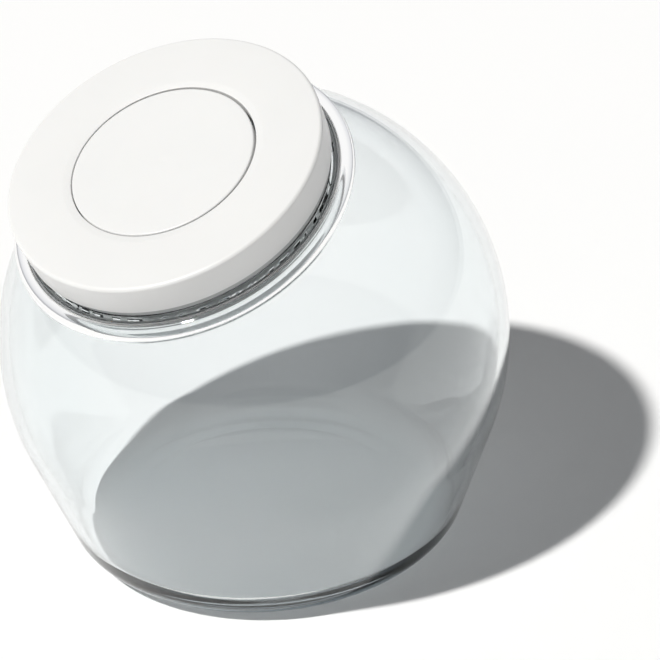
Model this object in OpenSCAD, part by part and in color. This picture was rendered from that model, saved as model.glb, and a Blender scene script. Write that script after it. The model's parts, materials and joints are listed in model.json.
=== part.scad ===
// Glass canister: a ball-shaped jar with a flat base and a mouth set at an angle,
// closed by a push-button lid. With the button down the lid squeezes a silicone
// gasket outwards against the neck; with the button up the gasket is slack and the
// button is the lid's handle.
//
// The jar stands on z = 0 and its mouth leans towards -Y. The lid's pieces are drawn
// in the mouth's own frame: origin at the middle of the glass rim, +z out of the jar.

/* [Jar] */
// Outer diameter of the ball-shaped body
ball_d = 218; // [180:1:270]
// Height of the ball's centre above the base
ball_h = 90.7; // [74:0.1:120]
// Angle between the lower wall and the vertical
taper = 19.6; // [12:0.1:26]
// Outer radius of the corner between the lower wall and the base
corner_r = 18.5; // [14:0.5:26]
// Inner radius of that corner
corner_in_r = 14; // [8:0.5:20]
// Thickness of the body's wall
wall_t = 4.5; // [3:0.1:6]
// Thickness of the base over the foot ring
base_t = 8; // [5:0.5:12]
// Width of the flat foot ring
foot_w = 9; // [4:0.5:14]
// Depth of the hollow under the base
punt_h = 2.2; // [1:0.1:4]

/* [Mouth] */
// Angle between the mouth's axis and the vertical
tilt = 24.4; // [10:0.1:32]
// Outer diameter of the neck
neck_d = 128; // [106:1:150]
// Thickness of the neck's wall
neck_t = 4.5; // [3:0.1:6]
// Height of the rim over the ball at the neck's outer wall
neck_h = 7.6; // [6:0.1:14]
// Radius of the fillet between the shoulder and the neck
shoulder_r = 4.5; // [2:0.5:6]
// Radius of the glass where the neck's bore opens into the body
throat_r = 4; // [2:0.5:6]
// Radius of the bead at the foot of the neck
bead_r = 1.1; // [0.6:0.1:1.6]

/* [Lid cover] */
// How far the cover stands out beyond the neck
cover_over = 2.8; // [2:0.1:6]
// Height of the cover's skirt
cover_h = 15; // [14:0.5:22]
// Thickness of the cover
cover_t = 2.2; // [1.6:0.1:3]
// How much narrower the skirt is at its lower edge, on the radius
cover_draft = 0.75; // [0:0.05:1.5]
// Radius of the cover's upper edge
cover_edge_r = 1.5; // [0.6:0.1:2]
// Width of the shallow bevel round the button
bevel_w = 3.2; // [1:0.1:5]
// Depth of that bevel
bevel_h = 0.35; // [0.1:0.05:0.6]

/* [Button] */
// Diameter of the button
button_d = 77.2; // [68:0.1:84]
// Gap between the button and the cover
button_gap = 0.7; // [0.4:0.05:1.2]
// Thickness of the button's top
button_t = 2.2; // [1.6:0.1:2.6]
// How far the button travels between down and up
button_travel = 8; // [5:0.1:8.5]

/* [Seal] */
// Height of the clear lip between the glass rim and the cover
lip_h = 2.8; // [2:0.1:4]
// Thickness of the carrier's floor
floor_t = 2; // [1.6:0.1:3]
// Height of the gasket when it is squeezed
gasket_h = 4.8; // [3.6:0.1:6]
// Radial thickness of the gasket
gasket_w = 6.4; // [5:0.1:8]
// How far the clamp plate drops when the button is up
clamp_drop = 2.4; // [1.5:0.1:2.6]
// Thickness of the clamp plate
clamp_t = 2.2; // [1.6:0.1:3]

/* [Mechanism] */
// Number of rockers
rocker_count = 3; // [3:1:3]
// Radius, from the lid's axis, of the rockers' pivots
pivot_x = 38.4; // [36:0.1:40]
// Length of a rocker's inner arm
inner_arm = 23.4; // [20:0.1:24]
// Radius of a rocker's pivot pin
pin_r = 1.25; // [1:0.05:1.5]
// Outer radius of the cam barrel
barrel_r = 13.2; // [13:0.1:13.4]
// Wall of the cam barrel
barrel_t = 3.2; // [3:0.1:3.4]
// Radius of the rotor's four track pins
track_pin_r = 1; // [0.8:0.05:1.1]
// Radius of the wire of the return spring
wire_r = 0.45; // [0.3:0.05:0.5]
// Number of working turns in the return spring
coil_turns = 6; // [5:1:7]

/* [Hidden] */
$fn = 144;

// Clearances
seat_gap = 0.3;      // lid's lip over the glass rim
line_gap = 0.3;      // shadow line between the cover and the lip
seal_gap = 0.08;     // gasket to the glass bore
run_fit = 0.08;      // a piece that turns or slides on another
slip = 0.25;         // pieces that only pass each other
touch = 0.15;        // working contact between lever tips and what they push
eps = 0.01;          // how far a cutter passes a face
lap = 0.1;           // how far a blend dips into what it blends into
step = 0.02;         // smallest ledge, left where two surfaces would only touch

// Jar
ball_r = ball_d / 2;
neck_r = neck_d / 2;
bore_r = neck_r - neck_t;
rim_r = neck_t / 2;
rim_z = sqrt(ball_r * ball_r - neck_r * neck_r) + neck_h;

// Lid cover: heights are over the rim
lip_top = seat_gap + lip_h;
cover_bottom = lip_top + line_gap;
cover_top = cover_bottom + cover_h;
lid_r = neck_r + cover_over;
skirt_r = lid_r - cover_draft;
button_r = button_d / 2;
hole_r = button_r + button_gap;
collar_r = hole_r + 1.8;

// Button
cap_top = cover_top - bevel_h;
cap_under = cap_top - button_t;
cap_skirt_t = 1.8;

// Carrier and clamp plate
lip_r = lid_r - 1.8;
plug_r = bore_r - 2.2;
plug_t = 2.3;
floor_top = -0.4;
floor_under = floor_top - floor_t;
gasket_out = bore_r - seal_gap;
gasket_in = gasket_out - gasket_w;
clamp_top = floor_under - gasket_h;
clamp_r = plug_r;
clamp_edge_r = 1.1;

// Rockers: a straight lever that tips through an equal angle each side of level
outer_arm = inner_arm * clamp_drop / button_travel;
rocker_rise = asin(button_travel / 2 / inner_arm);
tip_r = 1.8;
fork_r = 1.2;
fork_top = 0.3;      // top of the outer arm, which clears the washer as the lever tips
bar_t = 2.2;
hub_r = 2.6;
inner_w = 5;
pivot_z = floor_top + 0.4 + tip_r + button_travel / 2;
tip_x = pivot_x - inner_arm * cos(rocker_rise);
tip_z = pivot_z - button_travel / 2;
push_z = tip_z + tip_r + touch;
post_r = 2.2;
post_x = pivot_x + outer_arm;
fork_slot = 2 * (post_r + slip + 0.1);
lever_w = fork_slot + 3.5;
post_top = pivot_z + outer_arm * sin(rocker_rise) + fork_r + touch;
ear_t = 2;
ear_r = 2.5;
first_rocker = 90;
rocker_step = 360 / rocker_count;

// Button skirt and collar stop just above the pivot ears
cap_skirt_z = pivot_z + ear_r + 0.9;
collar_z = cap_skirt_z + 0.4;

// Latch at the middle: a rotor on the plunger whose pins follow a zigzag track
barrel_in = barrel_r - barrel_t;
disc_t = 1.95;
disc_under = cap_under - disc_t;
buffer_h = 0.7;
barrel_top = disc_under - 0.2 - buffer_h;
sleeve_in = barrel_r + 0.6;
sleeve_r = tip_x + 0.7;
tube_in = 5.8;
tube_r = 8.8;
stem_r = 7.5;
stem_z = floor_top + 0.6;
clip_z = stem_z + 0.55;
clip_t = 0.6;
clip_r = 6.92;
rotor_z = clip_z + clip_t + slip;
rotor_h = 2.6;
rotor_r = barrel_in - slip - 0.05;
track_z = rotor_z + rotor_h / 2;
track_slip = 0.33;
track_r = track_pin_r + track_slip;
track_pins = 4;
track_turn = 180 / track_pins;
track_end = barrel_in + 1.4;
track_out = track_end + 0.3;
shoulder_z = rotor_z + rotor_h + 0.1;
seam_turn = 33;      // keeps the barrel's seam off the corners of its track

// Screws
screw_r = 1.25;
head_r = 2.6;
head_h = 1.8;
cover_screw_x = 47;
cover_screw_z = 7;
boss_r = 3.1;
post_screw_r = 1.1;
post_screw_l = 6;
washer_t = 0.8;
washer_r = 4.4;
foot_x = 15.6;
foot_t = 1.4;
small_r = 0.9;
small_head_r = 1.8;
small_head_h = 1.2;
first_screw = 30;

// Spring
spring_r = 4.6;
spigot_r = 3.2;
spring_seat_t = 0.6;
spring_foot = floor_top + spring_seat_t;
wire_sides = 8;
coil_steps = 14;
end_turns = 0.75;

// Places its children on the mouth's axis, with z = 0 at the rim
module at_mouth() {
    translate([0, 0, ball_h]) rotate([tilt, 0, 0]) translate([0, 0, rim_z]) children();
}

// Repeats its children round the axis, one for each rocker or screw
module around(first) {
    for (i = [0 : rocker_count - 1]) rotate([0, 0, first + i * rocker_step]) children();
}

// A flat ring from radius a to radius b
module ring(a, b, z, h) {
    translate([0, 0, z]) difference() {
        cylinder(r = b, h = h);
        translate([0, 0, -eps]) cylinder(r = a, h = h + 2 * eps);
    }
}

// Half section of a neck that stands on a ball of radius r, with a fillet of radius f
module neck_half(r, neck, f, top) {
    c = [neck + f, sqrt((r + f - lap) * (r + f - lap) - (neck + f) * (neck + f))];
    translate([0, c.y / 2]) square([neck, top - c.y / 2]);
    difference() {
        polygon([[0, 0], c, [0, c.y]]);
        translate(c) circle(f);
    }
}

// Half section of the body: ball, straight taper, corner and base
module body_half(r, base, f) {
    t = [(r - step) * cos(taper), -(r - step) * sin(taper)];
    k = corner_at(r, base, f);
    q = k + (f - step) * [cos(taper), -sin(taper)];
    intersection() {
        circle(r);
        translate([0, t.y - f / 2]) square([r, r - t.y + f / 2]);
    }
    polygon([[0, t.y], t, q, k, [k.x, base], [0, base]]);
    translate(k) circle(f);
}

// Centre of the corner between the taper, which is tangent to a ball of radius r, and
// the base
function corner_at(r, base, f) =
    let (s = ((f - r) * sin(taper) - base - f) / cos(taper))
    [(r - f) * cos(taper) - s * sin(taper), base + f];

// The jar's form, solid: body turned about the vertical, neck about the mouth's axis.
// Children are half sections of what else stands on the neck.
module bottle(r, neck, f, top, base, corner) {
    rotate_extrude() body_half(r, base, corner);
    rotate([tilt, 0, 0]) rotate_extrude() {
        neck_half(r, neck, f, top);
        children();
    }
}

module glass_jar() {
    punt_r = corner_at(ball_r, -ball_h, corner_r).x - foot_w;
    punt_ball = (punt_r * punt_r + punt_h * punt_h) / (2 * punt_h);
    bead_z = rim_z - neck_h + shoulder_r / 2;
    color([0.86, 0.91, 0.93, 0.35]) difference() {
        translate([0, 0, ball_h]) difference() {
            bottle(ball_r, neck_r, shoulder_r, rim_z - rim_r, -ball_h, corner_r) {
                translate([neck_r - rim_r, rim_z - rim_r]) circle(rim_r - step);
                translate([neck_r + 0.3, bead_z]) circle(bead_r);
            }
            bottle(ball_r - wall_t, bore_r, throat_r, ball_r + rim_z, base_t - ball_h,
                   corner_in_r);
        }
        translate([0, 0, punt_h - punt_ball]) sphere(punt_ball);
    }
}

module lid_cover() {
    color([0.94, 0.94, 0.93]) at_mouth() {
        rotate_extrude() difference() {
            union() {
                polygon([[hole_r, cover_bottom], [skirt_r, cover_bottom],
                         [lid_r, cover_top - cover_edge_r],
                         [lid_r - cover_edge_r, cover_top],
                         [hole_r + bevel_w, cover_top], [hole_r, cap_top]]);
                translate([lid_r - cover_edge_r, cover_top - cover_edge_r])
                    circle(cover_edge_r);
            }
            polygon([[collar_r, cover_bottom - eps], [skirt_r - cover_t, cover_bottom - eps],
                     [lid_r - cover_t, cover_top - cover_t], [collar_r, cover_top - cover_t]]);
            translate([0, cover_bottom - eps])
                square([collar_r + eps, collar_z - cover_bottom + eps]);
        }
        around(first_screw) translate([cover_screw_x, 0, 0])
            ring(screw_r, boss_r, floor_top, cover_top - cover_t / 2 - floor_top);
    }
}

module button_cap() {
    edge_r = 0.6;
    locate_in = sleeve_r + 0.15;
    locate_h = 2.6;
    ribs = 6;
    rib_t = 1.4;
    color([0.96, 0.96, 0.95]) at_mouth() {
        rotate_extrude() {
            translate([0, cap_under]) square([button_r - edge_r, button_t]);
            translate([button_r - cap_skirt_t, cap_skirt_z])
                square([cap_skirt_t, cap_top - edge_r - cap_skirt_z]);
            translate([button_r - edge_r, cap_top - edge_r]) circle(edge_r);
            translate([locate_in, cap_under - locate_h]) square([1.6, locate_h + eps]);
        }
        for (i = [0 : ribs - 1]) rotate([0, 0, i * 360 / ribs])
            translate([locate_in + 1, -rib_t / 2, cap_under - locate_h])
                cube([button_r - cap_skirt_t - locate_in - 0.5, rib_t, locate_h + eps]);
    }
}

module button_plunger() {
    color([0.80, 0.82, 0.84]) at_mouth() rotate_extrude() difference() {
        union() {
            translate([0, disc_under]) square([sleeve_r, disc_t]);
            translate([sleeve_in, push_z]) square([sleeve_r - sleeve_in, disc_under - push_z]);
            translate([tube_in, shoulder_z])
                square([tube_r - tube_in, disc_under - shoulder_z + eps]);
            translate([tube_in, stem_z]) square([stem_r - tube_in, shoulder_z - stem_z + eps]);
        }
        translate([clip_r - 0.02, clip_z - 0.03]) square([stem_r, clip_t + 0.06]);
    }
}

module cam_rotor() {
    color([0.55, 0.60, 0.66]) at_mouth() {
        ring(stem_r + run_fit, rotor_r, rotor_z, rotor_h);
        for (i = [0 : track_pins - 1]) rotate([0, 0, i * 360 / track_pins])
            translate([rotor_r - 1, 0, track_z]) rotate([0, 90, 0])
                cylinder(r = track_pin_r, h = track_end - rotor_r + 1);
    }
}

module rotor_clip() {
    clip_w = 1.9;
    mouth_w = 8;
    color([0.62, 0.63, 0.65]) at_mouth() difference() {
        ring(clip_r, clip_r + clip_w, clip_z, clip_t);
        translate([0, -mouth_w / 2, clip_z - eps])
            cube([clip_r + clip_w + 1, mouth_w, clip_t + 2 * eps]);
    }
}

// One leg of the zigzag track: straight in the plane that faces its middle
module track_leg(sign) {
    reach = (barrel_in + track_end) / 2 * sin(track_turn / 2);
    slope = atan(button_travel / 2 / reach);
    leg = 2 * sqrt(reach * reach + button_travel * button_travel / 4);
    translate([barrel_in - 2, 0, track_z + button_travel / 2]) rotate([sign * slope, 0, 0])
        translate([0, -leg / 2, -track_r]) cube([track_out - barrel_in + 2, leg, 2 * track_r]);
}

module cam_barrel() {
    lug_w = 5;
    color([0.72, 0.74, 0.77]) at_mouth() {
        difference() {
            rotate([0, 0, seam_turn])
                ring(barrel_in, barrel_r, floor_top, barrel_top - floor_top);
            for (i = [0 : 2 * track_pins - 1]) rotate([0, 0, i * track_turn]) {
                rotate([0, 0, track_turn / 2]) track_leg(i % 2 == 0 ? 1 : -1);
                translate([barrel_in - 2, 0, track_z + (i % 2) * button_travel])
                    rotate([0, 90, 0]) cylinder(r = track_r + lap, h = track_out - barrel_in + 2);
            }
        }
        around(first_screw) difference() {
            union() {
                translate([barrel_r - 0.6, -lug_w / 2, floor_top])
                    cube([foot_x - barrel_r + 0.6, lug_w, foot_t]);
                translate([foot_x, 0, floor_top]) cylinder(d = lug_w, h = foot_t);
            }
            translate([foot_x, 0, floor_top - eps])
                cylinder(r = small_r + 0.1, h = foot_t + 2 * eps);
        }
    }
}

// A pan-head screw pointing up; its head's seat is at z = 0
module screw(shank, head, h, length) {
    difference() {
        union() {
            translate([0, 0, -h]) cylinder(r = head, h = h);
            cylinder(r = shank, h = length);
        }
        translate([0, 0, -h - eps]) cylinder(r = shank, h = h / 2, $fn = 6);
    }
}

module barrel_screws() {
    color([0.66, 0.66, 0.68]) at_mouth() around(first_screw)
        translate([foot_x, 0, floor_top + foot_t]) mirror([0, 0, 1])
            screw(small_r, small_head_r, small_head_h, foot_t + floor_t - 0.3);
}

module button_buffer() {
    color([0.30, 0.31, 0.33]) at_mouth()
        ring(barrel_in + 0.8, barrel_r - 0.4, barrel_top, buffer_h);
}

// Height of the spring's wire after a number of turns: closed ends, even middle
function coil_z(turn) =
    let (low = spring_foot + wire_r, high = disc_under - wire_r,
         closed = end_turns * 2 * wire_r * 1.04,
         all = coil_turns + 2 * end_turns)
    turn < end_turns ? low + closed * turn / end_turns :
    turn > all - end_turns ? high - closed * (all - turn) / end_turns :
    low + closed + (high - low - 2 * closed) * (turn - end_turns) / coil_turns;

module return_spring() {
    all = coil_turns + 2 * end_turns;
    rings = round(all * coil_steps);
    points = [for (i = [0 : rings]) let (turn = i * all / rings)
        for (j = [0 : wire_sides - 1])
            let (a = 360 * j / wire_sides, r = spring_r + wire_r * cos(a))
            [r * cos(360 * turn), r * sin(360 * turn), coil_z(turn) + wire_r * sin(a)]];
    sides = [for (i = [0 : rings - 1]) for (j = [0 : wire_sides - 1])
        let (a = i * wire_sides + j, b = i * wire_sides + (j + 1) % wire_sides)
        [a, a + wire_sides, b + wire_sides, b]];
    start = [for (j = [0 : wire_sides - 1]) j];
    finish = [for (j = [wire_sides - 1 : -1 : 0]) rings * wire_sides + j];
    color([0.70, 0.71, 0.73]) at_mouth()
        polyhedron(points = points, faces = concat(sides, [start], [finish]), convexity = 10);
}

module spring_washer() {
    color([0.62, 0.63, 0.65]) at_mouth()
        ring(spigot_r + 0.1, tube_in - 0.3, floor_top, spring_seat_t);
}

// Two ears that hold one rocker's pin
module pivot_ears() {
    for (side = [-1, 1]) translate([pivot_x, side * (lever_w / 2 + slip + ear_t / 2), 0])
        rotate([90, 0, 0]) translate([0, 0, -ear_t / 2]) difference() {
            union() {
                translate([-ear_r, floor_top - eps])
                    cube([2 * ear_r, pivot_z - floor_top + eps, ear_t]);
                translate([0, pivot_z, 0]) cylinder(r = ear_r, h = ear_t);
            }
            translate([0, pivot_z, -eps]) cylinder(r = pin_r, h = ear_t + 2 * eps);
        }
}

module gasket_carrier() {
    lip_edge = 0.7;
    spigot_h = 4.4;
    color([0.85, 0.90, 0.92, 0.45]) at_mouth() {
        difference() {
            rotate_extrude() {
                translate([0, floor_under]) square([plug_r, floor_t]);
                translate([plug_r - plug_t, floor_under])
                    square([plug_t, lip_top - floor_under]);
                translate([plug_r - plug_t, seat_gap])
                    square([lip_r - lip_edge - plug_r + plug_t, lip_h]);
                translate([lip_r - 2 * lip_edge, seat_gap + lip_edge])
                    square([2 * lip_edge, lip_h - 2 * lip_edge]);
                for (z = [seat_gap + lip_edge, lip_top - lip_edge])
                    translate([lip_r - lip_edge, z]) circle(lip_edge);
                translate([skirt_r - cover_t - slip - 2, lip_top - eps])
                    square([2, spigot_h + eps]);
            }
            around(first_rocker) translate([post_x, 0, floor_under - eps])
                cylinder(r = post_r + slip + 0.1, h = floor_t + 2 * eps);
            around(first_screw) translate([cover_screw_x, 0, floor_under - eps])
                cylinder(r = screw_r + slip, h = floor_t + 2 * eps);
            around(first_screw) translate([foot_x, 0, floor_under - eps])
                cylinder(r = small_r, h = floor_t + 2 * eps);
        }
        translate([0, 0, floor_top - eps]) cylinder(r = spigot_r, h = 4);
        around(first_rocker) pivot_ears();
    }
}

module gasket() {
    color([0.90, 0.91, 0.90, 0.8]) at_mouth() rotate_extrude() {
        translate([gasket_in, clamp_top])
            square([gasket_w - gasket_h / 2, gasket_h]);
        translate([gasket_out - gasket_h / 2, clamp_top + gasket_h / 2]) circle(gasket_h / 2);
    }
}

module clamp_plate() {
    locate_h = 1.8;
    color([0.85, 0.90, 0.92, 0.45]) at_mouth() {
        rotate_extrude() {
            translate([0, clamp_top - clamp_t]) square([clamp_r - clamp_edge_r, clamp_t]);
            translate([clamp_r - clamp_edge_r, clamp_top - clamp_edge_r])
                circle(clamp_edge_r);
            translate([gasket_in - 1.9, clamp_top - eps]) square([1.6, locate_h]);
        }
        around(first_rocker) translate([post_x, 0, 0]) difference() {
            translate([0, 0, clamp_top - eps])
                cylinder(r = post_r, h = post_top - clamp_top + eps);
            translate([0, 0, post_top - post_screw_l])
                cylinder(r = post_screw_r, h = post_screw_l + eps);
        }
    }
}

module post_washers() {
    color([0.62, 0.63, 0.65]) at_mouth() around(first_rocker) translate([post_x, 0, 0])
        ring(post_screw_r + 0.15, washer_r, post_top, washer_t);
}

module post_screws() {
    color([0.66, 0.66, 0.68]) at_mouth() around(first_rocker)
        translate([post_x, 0, post_top + washer_t]) mirror([0, 0, 1])
            screw(post_screw_r, head_r, head_h, post_screw_l + washer_t - 0.5);
}

// One lever, level, with its pivot at the origin: inner arm towards -x, fork towards +x
module lever() {
    difference() {
        union() {
            rotate([90, 0, 0]) translate([0, 0, -lever_w / 2]) linear_extrude(lever_w) {
                circle(hub_r);
                translate([0, -fork_r]) square([outer_arm, fork_r + fork_top]);
                translate([outer_arm, 0]) circle(fork_r);
            }
            rotate([90, 0, 0]) translate([0, 0, -inner_w / 2]) linear_extrude(inner_w) {
                translate([-inner_arm, -bar_t / 2]) square([inner_arm, bar_t]);
                translate([-inner_arm, 0]) circle(tip_r);
            }
        }
        rotate([90, 0, 0]) cylinder(r = pin_r + run_fit, h = 2 * lever_w, center = true);
        translate([outer_arm - post_r - 0.9, -fork_slot / 2, -2 * fork_r])
            cube([2 * outer_arm, fork_slot, 4 * fork_r]);
    }
}

module rocker(i) {
    color([0.90, 0.55, 0.25]) at_mouth() rotate([0, 0, first_rocker + i * rocker_step])
        translate([pivot_x, 0, pivot_z]) rotate([0, -rocker_rise, 0]) lever();
}

module rocker_pins() {
    pin_l = lever_w + 2 * slip + 2 * ear_t;
    color([0.62, 0.63, 0.65]) at_mouth() around(first_rocker)
        translate([pivot_x, 0, pivot_z]) rotate([90, 0, 0])
            cylinder(r = pin_r, h = pin_l, center = true);
}

module cover_screws() {
    color([0.66, 0.66, 0.68]) at_mouth() around(first_screw)
        translate([cover_screw_x, 0, floor_under])
            screw(screw_r, head_r, head_h, cover_screw_z - floor_under);
}

glass_jar();
lid_cover();
button_cap();
button_plunger();
cam_rotor();
rotor_clip();
cam_barrel();
barrel_screws();
button_buffer();
return_spring();
spring_washer();
gasket_carrier();
gasket();
clamp_plate();
post_washers();
post_screws();
rocker(0);  // rocker_1
rocker(1);  // rocker_2
rocker(2);  // rocker_3
rocker_pins();
cover_screws();
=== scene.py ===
"""The finished looks of a lidded glass canister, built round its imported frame.

The jar is blown glass with a flat base and a mouth set at an angle. Its lid is a white
cover with a flush push button over a clear carrier, a silicone ring and a clamp plate.
Every mesh is in metres and sits where the frame says, apart from the button's cap, which
is set a little to one side of its hole.
"""

import json
import logging
import math
from dataclasses import dataclass, field
from enum import Enum
from typing import Iterable, Optional, Sequence

import bmesh
import bpy
from mathutils import Matrix, Vector

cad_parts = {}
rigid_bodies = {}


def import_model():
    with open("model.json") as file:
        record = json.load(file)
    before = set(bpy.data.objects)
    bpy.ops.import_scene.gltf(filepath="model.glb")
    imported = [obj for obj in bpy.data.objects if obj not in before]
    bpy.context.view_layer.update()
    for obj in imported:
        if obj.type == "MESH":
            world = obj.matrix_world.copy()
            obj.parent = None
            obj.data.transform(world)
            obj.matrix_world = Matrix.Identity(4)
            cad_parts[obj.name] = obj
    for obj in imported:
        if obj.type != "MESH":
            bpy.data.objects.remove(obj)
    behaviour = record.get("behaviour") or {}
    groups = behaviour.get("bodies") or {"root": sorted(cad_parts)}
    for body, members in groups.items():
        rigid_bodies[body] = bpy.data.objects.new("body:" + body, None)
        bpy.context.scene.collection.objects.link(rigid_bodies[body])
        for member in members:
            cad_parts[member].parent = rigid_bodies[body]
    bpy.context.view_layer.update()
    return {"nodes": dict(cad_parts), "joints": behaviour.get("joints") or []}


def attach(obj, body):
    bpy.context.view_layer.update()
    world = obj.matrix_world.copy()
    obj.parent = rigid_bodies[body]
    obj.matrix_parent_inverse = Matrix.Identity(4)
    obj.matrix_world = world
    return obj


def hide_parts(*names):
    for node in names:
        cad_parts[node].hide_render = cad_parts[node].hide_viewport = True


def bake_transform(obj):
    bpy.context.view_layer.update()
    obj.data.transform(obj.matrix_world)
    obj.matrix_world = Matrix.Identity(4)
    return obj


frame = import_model()

LOG = logging.getLogger("canister")
MM = 0.001

Point2 = tuple[float, float]
Corner = tuple[float, float, float]


# --------------------------------------------------------------------------- camera


@dataclass(frozen=True)
class StudioCamera:
    """A long lens that looks down at the jar from its front right."""

    turn: float = math.radians(39.8)
    height: float = math.radians(30.0)
    roll: float = math.radians(-3.53)
    distance: float = 1.199
    lens: float = 152.76
    aim: Vector = field(default_factory=lambda: Vector((0, 0, 0.0907)))
    aim_right: float = 0.0322
    aim_up: float = 0.0021

    def build(self) -> bpy.types.Object:
        """Makes the camera and gives it to the scene.

        Returns:
            The camera object.
        """
        back = Vector((
            math.sin(self.turn) * math.cos(self.height),
            -math.cos(self.turn) * math.cos(self.height),
            math.sin(self.height),
        ))
        level = Vector((math.cos(self.turn), math.sin(self.turn), 0))
        upright = back.cross(level)
        right = level * math.cos(self.roll) + upright * math.sin(self.roll)
        up = upright * math.cos(self.roll) - level * math.sin(self.roll)
        place = self.aim + right * self.aim_right + up * self.aim_up + back * self.distance
        data = bpy.data.cameras.new("studio_camera")
        data.lens = self.lens
        data.sensor_width = 36
        data.clip_start, data.clip_end = 0.05, 50
        camera = bpy.data.objects.new("studio_camera", data)
        camera.matrix_world = Matrix((
            (right.x, up.x, back.x, place.x),
            (right.y, up.y, back.y, place.y),
            (right.z, up.z, back.z, place.z),
            (0, 0, 0, 1),
        ))
        bpy.context.scene.collection.objects.link(camera)
        bpy.context.scene.camera = camera
        return camera


# ------------------------------------------------------------------------ finishes


class Nodes:
    """A small helper that writes one material's node tree."""

    def __init__(self, name: str) -> None:
        """Starts a material with a shader and its output.

        Args:
            name: The material's name.
        """
        self.material = bpy.data.materials.new(name)
        self.material.use_nodes = True
        self.tree = self.material.node_tree
        self.shader = self.tree.nodes["Principled BSDF"]
        self.output = self.tree.nodes["Material Output"]
        self.coords = self.add("ShaderNodeTexCoord").outputs["Object"]

    def add(self, kind: str, **settings: object) -> bpy.types.Node:
        """Adds one node.

        Args:
            kind: The node's type.
            settings: Its properties.

        Returns:
            The node.
        """
        node = self.tree.nodes.new(kind)
        for key, value in settings.items():
            setattr(node, key, value)
        return node

    def link(self, source: bpy.types.NodeSocket, target: bpy.types.NodeSocket) -> None:
        """Joins two sockets."""
        self.tree.links.new(source, target)

    def constants(self, **values: object) -> None:
        """Sets plain values on the shader; an underscore stands for a space."""
        for key, value in values.items():
            self.shader.inputs[key.replace("_", " ")].default_value = value

    def noise(self, scale: float, detail: float = 2.0,
              stretch: Sequence[float] = (1, 1, 1)) -> bpy.types.NodeSocket:
        """Adds a noise pattern on object coordinates.

        Args:
            scale: Patches per metre.
            detail: Octaves of finer noise.
            stretch: Scale along each axis, for grain that runs one way.

        Returns:
            The pattern's value, about 0.5 on average.
        """
        place = self.add("ShaderNodeMapping")
        place.inputs["Scale"].default_value = stretch
        self.link(self.coords, place.inputs["Vector"])
        noise = self.add("ShaderNodeTexNoise")
        noise.inputs["Scale"].default_value = scale
        noise.inputs["Detail"].default_value = detail
        self.link(place.outputs["Vector"], noise.inputs["Vector"])
        return noise.outputs["Fac"]

    def between(self, value: bpy.types.NodeSocket, low: float, high: float,
                start: float = 0.3, end: float = 0.7) -> bpy.types.NodeSocket:
        """Maps a pattern's start to end onto low to high.

        Args:
            value: The pattern.
            low: Result at start.
            high: Result at end.
            start: Pattern value that gives low.
            end: Pattern value that gives high.

        Returns:
            The mapped value.
        """
        ramp = self.add("ShaderNodeMapRange")
        limits = {"From Min": start, "From Max": end, "To Min": low, "To Max": high}
        for key, number in limits.items():
            ramp.inputs[key].default_value = number
        self.link(value, ramp.inputs["Value"])
        return ramp.outputs["Result"]

    def colours(self, value: bpy.types.NodeSocket, low: Sequence[float],
                high: Sequence[float]) -> bpy.types.NodeSocket:
        """Mixes two colours by a pattern.

        Args:
            value: The pattern.
            low: Colour where the pattern is low.
            high: Colour where it is high.

        Returns:
            The colour.
        """
        mix = self.add("ShaderNodeMix", data_type="RGBA")
        mix.inputs["A"].default_value = (*low, 1)
        mix.inputs["B"].default_value = (*high, 1)
        self.link(self.between(value, 0, 1), mix.inputs["Factor"])
        return mix.outputs["Result"]

    def bump(self, *layers: tuple[bpy.types.NodeSocket, float, float]) -> None:
        """Stacks bumps on the shader's normal.

        Args:
            layers: A pattern, its height in metres and its strength, from broad to fine.
        """
        normal: Optional[bpy.types.NodeSocket] = None
        for pattern, height, strength in layers:
            bump = self.add("ShaderNodeBump")
            bump.inputs["Distance"].default_value = height
            bump.inputs["Strength"].default_value = strength
            self.link(pattern, bump.inputs["Height"])
            if normal is not None:
                self.link(normal, bump.inputs["Normal"])
            normal = bump.outputs["Normal"]
        if normal is not None:
            self.link(normal, self.shader.inputs["Normal"])


@dataclass(frozen=True)
class ClearWall:
    """Something seen through: blown glass or moulded clear plastic."""

    name: str
    tint: tuple[float, float, float]
    index: float
    polish: tuple[float, float]
    swell: float
    swell_scale: float
    fine: float = 0.0
    fine_scale: float = 900.0
    clear: float = 1.0
    soak_colour: tuple[float, float, float] = (0.80, 0.87, 0.89)
    soak_density: float = 0.0

    def build(self) -> bpy.types.Material:
        """Makes the material.

        Returns:
            The material.
        """
        nodes = Nodes(self.name)
        nodes.constants(Transmission_Weight=self.clear, IOR=self.index, Roughness=self.polish[0])
        pale = tuple(0.5 + 0.5 * c for c in self.tint)
        streak = nodes.noise(14, 2.0, (1, 1, 0.35))
        nodes.link(nodes.colours(streak, self.tint, pale), nodes.shader.inputs["Base Color"])
        film = nodes.noise(38, 5.0)
        nodes.link(nodes.between(film, *self.polish, 0.45, 0.8), nodes.shader.inputs["Roughness"])
        layers = [(nodes.noise(self.swell_scale, 1.0, (1, 1, 0.6)), self.swell, 0.5)]
        if self.fine:
            layers.append((nodes.noise(self.fine_scale, 2.0), self.fine, 0.4))
        nodes.bump(*layers)
        if self.soak_density:
            soak = nodes.add("ShaderNodeVolumeAbsorption")
            soak.inputs["Color"].default_value = (*self.soak_colour, 1)
            soak.inputs["Density"].default_value = self.soak_density
            nodes.link(soak.outputs["Volume"], nodes.output.inputs["Volume"])
        return nodes.material


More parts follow.
